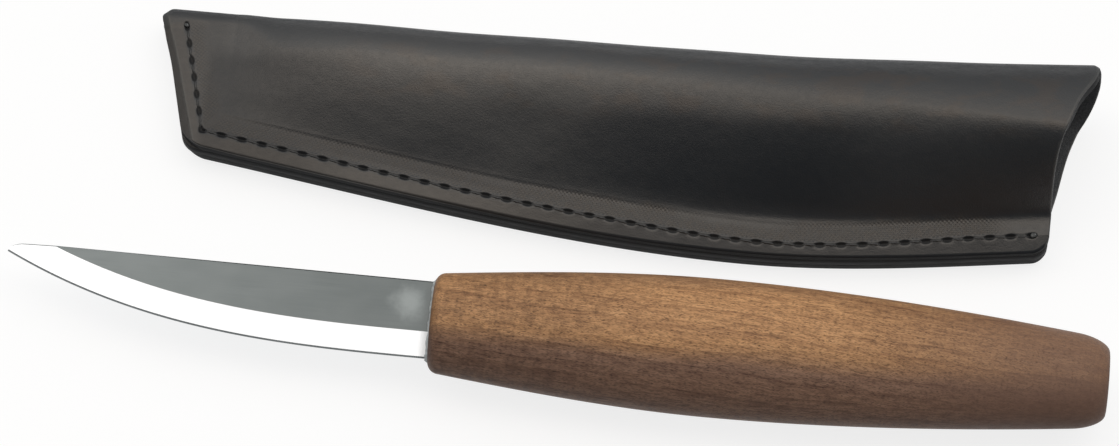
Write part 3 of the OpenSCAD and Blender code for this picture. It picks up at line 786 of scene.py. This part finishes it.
def shell_grid():
    """Where the leather is sampled: shares along the sheath, and zones with shares across it."""
    fine = np.array([0, 0.05, 0.15, 0.3, 0.5, 0.75])
    reach = SHEATH_LENGTH - 0.4
    along = np.concatenate([
        fine, np.arange(1.0, 2.3, 0.2), np.arange(2.4, 4.1, 0.11), np.arange(4.2, 9.0, 0.27),
        np.linspace(9.2, 177.8, 490), reach - fine[::-1],
    ])
    margin = np.concatenate([
        fine, np.arange(1.0, 2.3, 0.28), np.arange(2.4, 4.05, 0.11), np.linspace(4.2, WELT_WIDTH, 13)[:-1],
    ]) / WELT_WIDTH
    back = np.concatenate([fine, np.linspace(1.0, WELT_WIDTH, 24)[:-1]]) / WELT_WIDTH
    shares = [margin, *(np.arange(count) / count for count in (40, 40, 6, 6)), 1 - back[::-1]]
    zone = np.concatenate([np.full(len(q), k) for k, q in enumerate(shares)])
    q = np.concatenate(shares)
    q[-1] = 1.0
    return np.clip(along / reach, 0, 1), zone, q


def leather_shell(rim):
    s, zone, q = shell_grid()
    S, Q = np.meshgrid(s, q, indexing="ij")
    Z = np.broadcast_to(zone, S.shape)
    x = S * SHEATH_LENGTH
    front = (Z < 2) | ((Z == 2) & (Q < 0.62))

    def tip_start(w):
        return tip_x(w) + trimmed(w, TIP_FOLD_ROUND)

    def mouth_end(w):
        """Where the leather ends at the mouth: it stands back a little, and the fold's corner is rounded."""
        fold = mix(FRONT_BACK, CORNER_BACK, smooth((Q - 0.09) / 0.16))
        fold = mix(fold, REAR_BACK, smooth((Q - 0.65) / 0.35))
        fold = fold + CORNER_ROUND * np.exp(-((Q - 0.43) / 0.08) ** 2)
        front_back = FRONT_BACK * (1 - smooth((w - 18) / 11))
        rear_back = REAR_BACK * (1 - smooth((w - 10) / 14))
        return mouth_x(w) - np.select([Z == 2, Z < 2], [fold, front_back], rear_back)

    for _ in range(12):
        w, z = section(Z, Q, x)
        x = mix(tip_start(w), mouth_end(w), S)
    stop = mouth_end(w)
    # Round the tip corner and the mouth corner.
    edge = np.minimum(x - tip_start(w), stop - x)
    flat = (Z == 0) | (Z == 5)
    off_belly = np.where(flat, belly(x) - w, FAR)
    edge = np.minimum(edge, off_belly)
    for radius, at_tip in ((TIP_CORNER, True), (MOUTH_CORNER, False)):
        a = x - tip_x(w) if at_tip else MOUTH_X - x
        near = flat & (a < radius) & (off_belly < radius)
        u, v = 1 - a / radius, 1 - off_belly / radius
        u2 = u * np.sqrt(np.clip(1 - v * v / 2, 0, 1))
        v2 = v * np.sqrt(np.clip(1 - u * u / 2, 0, 1))
        new_a, new_b = radius * (1 - u2), radius * (1 - v2)
        x_new, w_new = x, w
        for _ in range(4):
            x_new = tip_x(w_new) + new_a if at_tip else MOUTH_X - new_a
            w_new = belly(x_new) - new_b
        x, w = np.where(near, x_new, x), np.where(near, w_new, w)
        edge = np.where(near, radius * (1 - np.sqrt(u2 * u2 + v2 * v2)), edge)
        off_belly = np.where(near, new_b, off_belly)
    edge = np.maximum(edge, 0.0)
    # Gentle waves of formed leather, away from the seam.
    loose = np.select([Z == 1, Z == 2], [smooth(Q * 1.6), 1 - smooth(Q - 0.2)], 0.0) * smooth((x - 20) / 30)
    wave = loose * (0.14 * np.sin(x / 11.5 + 0.6) * np.sin(w / 7 + 1.1) + 0.05 * np.sin(x / 5.3 + w / 6))
    # Groove and slots of the stitches, and the band pressed beside them.
    along, side, hole, beat, run = seam_place(x, w)
    sewn = smooth(along + 1.0) * smooth(run + 1.0 - along)
    groove = GROOVE_DEPTH * np.where(side > 0, np.exp(-(side / 0.34) ** 2), 1.0) * sewn
    slot = np.exp(-(hole / 0.92) ** 4 - (side / 0.40) ** 2)
    slot = slot * smooth((along + 1.2) / 0.4) * smooth((run + 1.2 - along) / 0.4)
    on_seam = (Z < 2) | (Z >= 4) | ((Z == 3) & (x < FLAT_END))
    groove = np.where(on_seam, groove + SLOT_DEPTH * slot, 0.0)
    press = smooth((along + 2) / 3) * (1 - smooth((along - run + 9) / 7)) * (Z < 2)
    band = smooth((side - 0.3) / 0.5) * (1 - smooth((side - 3.7) / 0.6)) * press
    corner = np.linalg.norm(np.diff(HOLES, axis=0), axis=1)[:TIP_COUNT].sum()
    weave = smooth((np.abs(along - corner) - 0.84 * np.maximum(side, 0)) / 0.7)
    points = np.stack([x, -w, z], -1)
    normal = np.cross(np.gradient(points, axis=1), np.gradient(points, axis=0))
    normal /= np.linalg.norm(normal, axis=-1, keepdims=True) + 1e-12
    if normal[len(s) // 2, 20, 2] < 0:
        normal = -normal
    normal[Z == 0], normal[Z == 5] = (0, 0, 1), (0, 0, -1)
    # Edges are rounded, the front's margin slopes down outside the stitches, and its tip end is bevelled.
    u = np.clip(1 - edge / EDGE_ROUND, 0, 1)
    drop = EDGE_ROUND * (1 - np.sqrt(np.clip(1 - u * u, 0, 1)))
    slope = np.tan(np.radians(mix(6.5, 18.5, smooth((x - 48) / 50))))
    margin_drop = np.where(Z == 0, slope * np.maximum(0, -side) * smooth((along - 24) / 6), 0.0)
    bevel = mix(BEVEL_FOLD, BEVEL_BELLY, np.clip(w / 27, 0, 1))
    tip_gap = x - tip_start(w)
    bevel_drop = np.where(front, BEVEL_SLOPE * np.maximum(0, bevel - tip_gap), 0.0)
    drop = np.minimum(np.maximum(drop, bevel_drop) + margin_drop, DROP_MOST)
    outer = points + normal * (wave - groove - drop - BAND_DEPTH * band)[..., None]
    inner = points - normal * (LEATHER - wave)[..., None]
    mouth_line = np.where(w < 24, np.abs(stop - x - 0.3), NO_LINE)
    line = np.where(front, np.minimum(np.abs(tip_gap - bevel), mouth_line), NO_LINE)
    # Outside in full, the inside with fewer points, and the cut edges between them.
    rows, columns = Z.shape
    number = np.arange(rows * columns).reshape(rows, columns)
    pick_s = np.unique(np.concatenate([[0, 2, 4, 6], np.arange(8, rows - 7, 5), rows - np.array([7, 5, 3, 1])]))
    pick_v = np.unique(np.concatenate([[0, 2, 4], np.arange(6, columns - 5, 2), columns - np.array([5, 3, 1])]))
    chosen = np.ix_(pick_s, pick_v)
    few = inner[chosen].reshape(-1, 3)
    under = number.size + np.arange(len(few)).reshape(len(pick_s), len(pick_v))
    faces = grid_faces(number) + grid_faces(under.T)
    broad = len(faces)
    for k in (0, -1):
        faces += strips(number[k], np.arange(columns), under[k], pick_v)
        faces += strips(number[:, k], np.arange(rows), under[:, k], pick_s)
    face_slots = [0] * broad + [1] * (len(faces) - broad)
    # The inside's rim is cut edge too, so its flesh side begins a little way in.
    cut = edge[chosen].ravel()
    values = {
        "seam_u": (along, 0.0), "seam_v": (side, 50.0), "beat": (beat, 0.5), "press": (press, 0.0),
        "weave": (weave, 0.0), "line": (line, NO_LINE), "edge": (edge, cut),
        "inside": (0 * edge, smooth(cut / 0.3)),
    }
    attributes = {
        key: np.concatenate([on_outside.ravel(), np.broadcast_to(on_inside, cut.shape)])
        for key, (on_outside, on_inside) in values.items()
    }
    every = np.concatenate([outer.reshape(-1, 3), few])
    return make("folded_leather", every, faces, "sheath", ["sheath_leather"], [leather(), rim],
                SHEATH, attributes=attributes, face_slots=face_slots, sharp=50)


def seam_path():
    """Outer and inner line of the seam as (x, w), from the fold along tip end and belly to the mouth."""
    outer, inner = [], []
    corner = np.array([FLAT_END, TIP_END[1] - WELT_WIDTH])
    foot = np.array([WELT_WIDTH, -1.0])

    def tip_inner(w):
        return mix(foot, corner, (min(w, corner[1]) + 1) / (corner[1] + 1))

    way = TIP_END / np.linalg.norm(TIP_END)
    belly_way = np.array([1.0, float(belly(TIP_END[0] + 1) - belly(TIP_END[0]))])
    belly_way /= np.linalg.norm(belly_way)
    half = math.acos(float(np.dot(-way, belly_way))) / 2
    cut = TIP_CORNER / math.tan(half)
    start, stop = TIP_END - way * cut, TIP_END + belly_way * cut
    middle = TIP_END + (belly_way - way) / np.linalg.norm(belly_way - way) * TIP_CORNER / math.sin(half)
    for w in np.linspace(FOLD_RADIUS + END_CLEAR, start[1], 40)[:-1]:
        outer.append(np.array([tip_x(w), w]))
        inner.append(tip_inner(w))
    a0, a1 = (math.atan2(*(p - middle)[::-1]) for p in (start, stop))
    if a0 < 0:
        a0 += 2 * math.pi
    for k in np.linspace(0, 1, 15):
        a = mix(a0, a1, k)
        outer.append(middle + TIP_CORNER * np.array([math.cos(a), math.sin(a)]))
        inner.append(corner)
    end = np.array([MOUTH_X, float(belly(MOUTH_X))])
    for x in np.linspace(stop[0], MOUTH_X - MOUTH_CORNER, 240)[1:-1]:
        outer.append(np.array([x, float(belly(x))]))
        inner.append(np.array([max(x, corner[0]), float(belly(max(x, corner[0]))) - WELT_WIDTH]))
    centre = np.array([MOUTH_X - MOUTH_CORNER, float(belly(MOUTH_X - MOUTH_CORNER)) - MOUTH_CORNER])
    for k in np.linspace(0, 1, 11):
        a = math.pi / 2 * (1 - k)
        outer.append(centre + MOUTH_CORNER * np.array([math.cos(a), math.sin(a)]))
        inner.append(np.array([mix(centre[0], MOUTH_X, k), end[1] - WELT_WIDTH]))
    outer.append(np.array([MOUTH_X, end[1] - WELT_WIDTH + 0.6]))
    inner.append(np.array([MOUTH_X, end[1] - WELT_WIDTH]))
    return np.array(outer), np.array(inner)


OUTER, INNER = seam_path()


def seam_layer(name, node, material, low, high, inset, ease):
    d = np.gradient(OUTER, axis=0)
    side = np.stack([d[:, 1], -d[:, 0]], -1) / np.linalg.norm(d, axis=1)[:, None]
    toward = np.sum((INNER - OUTER) * side, axis=1)
    side *= np.where(toward < 0, -1, 1)[:, None]

    def line(shift, z, edge=OUTER):
        p = edge + side * shift
        return np.stack([p[:, 0], -p[:, 1], np.full(len(p), z)], -1)

    rim = ease * 0.6
    loops = np.stack([
        line(inset + ease, low), line(inset + ease * 0.3, low + rim * 0.4), line(inset, low + rim),
        line(inset, high - rim), line(inset + ease * 0.3, high - rim * 0.4), line(inset + ease, high),
        line(0.0, high, INNER), line(0.0, low, INNER),
    ], axis=1)
    sides = loops.shape[1]
    points = loops.reshape(-1, 3)
    faces = tube_faces(len(loops), sides)
    return make(name, points, faces, "sheath", [node], [material], SHEATH, sharp=50)


# Stitches

def rounded_path(knots, count):
    """Catmull-Rom curve through the knots."""
    k = np.array(knots, float)
    k = np.concatenate([[2 * k[0] - k[1]], k, [2 * k[-1] - k[-2]]])
    out = []
    spans = len(k) - 3
    for u in np.linspace(0, spans, count):
        i = min(int(u), spans - 1)
        f = u - i
        a, b, c, d = k[i:i + 4]
        square, cube = 2 * a - 5 * b + 4 * c - d, 3 * b - a - 3 * c + d
        out.append(0.5 * (2 * b + (c - a) * f + square * f * f + cube * f ** 3))
    return np.array(out)


def twisted_tube(path, radius, sides, twist, start):
    """Three-ply thread along a path, closed at both ends."""
    d = np.gradient(path, axis=0)
    d /= np.linalg.norm(d, axis=1)[:, None]
    ref = np.array([0.0, 0.0, 1.0]) if abs(d[len(d) // 2, 2]) < 0.9 else np.array([0.0, 1.0, 0.0])
    side = np.cross(d[len(d) // 2], ref)
    side /= np.linalg.norm(side)
    run = np.concatenate([[0], np.cumsum(np.linalg.norm(np.diff(path, axis=0), axis=1))])
    angle = np.linspace(0, 2 * math.pi, sides, endpoint=False)
    rings = []
    for p, t, r in zip(path, d, run):
        b = np.cross(side, t)
        b /= np.linalg.norm(b)
        swellings = radius * (1 + 0.10 * np.cos(3 * (angle - twist * r - start)))
        rings.append(p + swellings[:, None] * (np.cos(angle)[:, None] * side + np.sin(angle)[:, None] * b))
    return np.concatenate(rings), tube_faces(len(rings), sides)


def lump(centre, size, phase):
    """Melted end of a thread, a flattened drop with an uneven outline."""
    around, up = 18, 10
    points = []
    for i in range(up + 1):
        e = math.pi * (i + 0.02) / (up + 0.04) - math.pi / 2
        for j in range(around):
            a = 2 * math.pi * j / around
            r = size * (1 + 0.14 * math.sin(2 * a + phase) + 0.08 * math.sin(3 * a + 2 * phase) * math.cos(e))
            flat = r * math.cos(e)
            points.append(centre + np.array([flat * math.cos(a), flat * math.sin(a), 0.72 * r * math.sin(e)]))
    return np.array(points), tube_faces(up + 1, around)


def stitches(name, node, surface, out, material, ends):
    points, faces = [], []
    count = 0

    def add(p, f):
        nonlocal count
        points.append(p)
        faces.extend(tuple(i + count for i in g) for g in f)
        count += len(p)

    # Half a stitch, as (distance from the hole, height over the leather, lean to the side).
    start = ((0.33, -2.0, 0.08), (0.50, -1.1, 0.10), (1.05, -0.42, 0.08))
    for i in range(len(HOLES) - 1):
        a, b = HOLES[i], HOLES[i + 1]
        span = np.linalg.norm(b - a)
        way = (b - a) / span
        across = np.array([way[1], -way[0]]) * out
        run = [*start, (span / 2, -0.25, 0.0), *((span - d, rise, -lean) for d, rise, lean in start[::-1])]
        knots = []
        for d, rise, lean in run:
            p = a + way * d + across * lean
            knots.append([p[0], -p[1], surface + out * rise])
        add(*twisted_tube(rounded_path(knots, 30), THREAD_RADIUS, 12, 2 * math.pi / THREAD_TURN, 0.4 * i))
    plain = len(faces)
    first, final = HOLES[0], HOLES[-1]
    add(*lump(np.array([final[0] + 0.30, -final[1] + 0.05, surface + out * 0.05]), 0.52, 0.7))
    add(*lump(np.array([first[0] - 0.10, -first[1] + 0.25, surface + out * -0.12]), 0.40, 2.1))
    face_slots = [0] * plain + [1] * (len(faces) - plain)
    return make(name, np.concatenate(points), faces, "sheath", [node], [material, ends], SHEATH,
                face_slots=face_slots, sharp=70)


# Table, light and camera

def table():
    """White to the eye and in reflections, and grey as a giver of light, so that it keeps the shadow."""
    mesh = bpy.data.meshes.new("table_top")
    bm = bmesh.new()
    bmesh.ops.create_grid(bm, x_segments=1, y_segments=1, size=6.0)
    bm.to_mesh(mesh)
    bm.free()
    top = bpy.data.objects.new("table_top", mesh)
    top.location = (0, 0, -0.0002)
    bpy.context.scene.collection.objects.link(top)
    material = bpy.data.materials.new("white_table")
    nodes = Nodes(material, "OutputMaterial")
    paint = nodes.node("BsdfDiffuse", {"Color": (0.25, 0.25, 0.25, 1)}).outputs[0]
    glow = nodes.node("Emission", {"Strength": 0.81}).outputs[0]
    both = nodes.node("AddShader", {0: paint, 1: glow}).outputs[0]
    path = nodes.node("LightPath").outputs
    seen = nodes.most(path["Is Camera Ray"], path["Is Glossy Ray"], path["Is Transmission Ray"])
    nodes.put(nodes.end, nodes.node("MixShader", {0: seen, 1: paint, 2: both}).outputs[0])
    mesh.materials.append(material)


def lights():
    """A sky whose level goes by the angle round the sheath's length, and falls toward both ends."""
    world = bpy.data.worlds.new("studio")
    bpy.context.scene.world = world
    nodes = Nodes(world, "OutputWorld")
    way = nodes.split(nodes.node("TexCoord").outputs["Generated"])
    turn = nodes.fit(nodes.math("ARCTAN2", way[2], way[1]), 0.0, math.pi, kind="LINEAR")
    tone = nodes.ramp(turn, [
        (degrees / 180, [level / SKY_MOST * t for t in tint]) for degrees, level, tint in SKY
    ])
    ends = nodes.fit(nodes.math("ABSOLUTE", way[0]), 0.5, 0.97, 1.0, 0.5)
    tone = nodes.node("VectorMath", {0: tone, "Scale": ends}, operation="SCALE").outputs[0]
    nodes.put(nodes.end, nodes.node("Background", {"Color": tone, "Strength": SKY_MOST}).outputs[0])


def camera():
    flat = math.cos(ELEVATION)
    back = Vector((math.sin(AZIMUTH) * flat, -math.cos(AZIMUTH) * flat, math.sin(ELEVATION)))
    right = Vector((math.cos(AZIMUTH), math.sin(AZIMUTH), 0.0))
    data = bpy.data.cameras.new("photo_camera")
    data.sensor_fit = "HORIZONTAL"
    data.sensor_width = 36.0
    data.lens = data.sensor_width * DISTANCE / (PHOTO_WIDTH * MM_PER_PIXEL * MM)
    data.clip_start, data.clip_end = 0.05, 30.0
    eye = bpy.data.objects.new("photo_camera", data)
    turn = Matrix((right, back.cross(right), back)).transposed()
    eye.matrix_world = Matrix.Translation(AIM + back * DISTANCE) @ turn.to_4x4()
    bpy.context.scene.collection.objects.link(eye)
    bpy.context.scene.camera = eye


camera()
table()
lights()
handle()
blade()
bead()
rim_leather = edge_leather()
leather_shell(rim_leather)
film = glue("dark_contact_cement", (0.020, 0.017, 0.015), (0.011, 0.010, 0.009), 0.5)
seam_layer("welt_strip", "sheath_welt", rim_leather, WELT_LOW, WELT_TOP, 0.02, 0.03)
seam_layer("front_glue_line", "front_cement", film, WELT_TOP, WELT_TOP + CEMENT, 0.04, 0.02)
seam_layer("back_glue_line", "back_cement", film, SEAM_LOW + LEATHER, WELT_LOW, 0.04, 0.02)
thread, thread_end = waxed_thread(), waxed_end()
stitches("front_stitches", "needle_thread", SEAM_TOP, 1, thread, thread_end)
stitches("back_stitches", "bobbin_thread", SEAM_LOW, -1, thread, thread_end)

bpy.context.scene.view_settings.view_transform = "Standard"
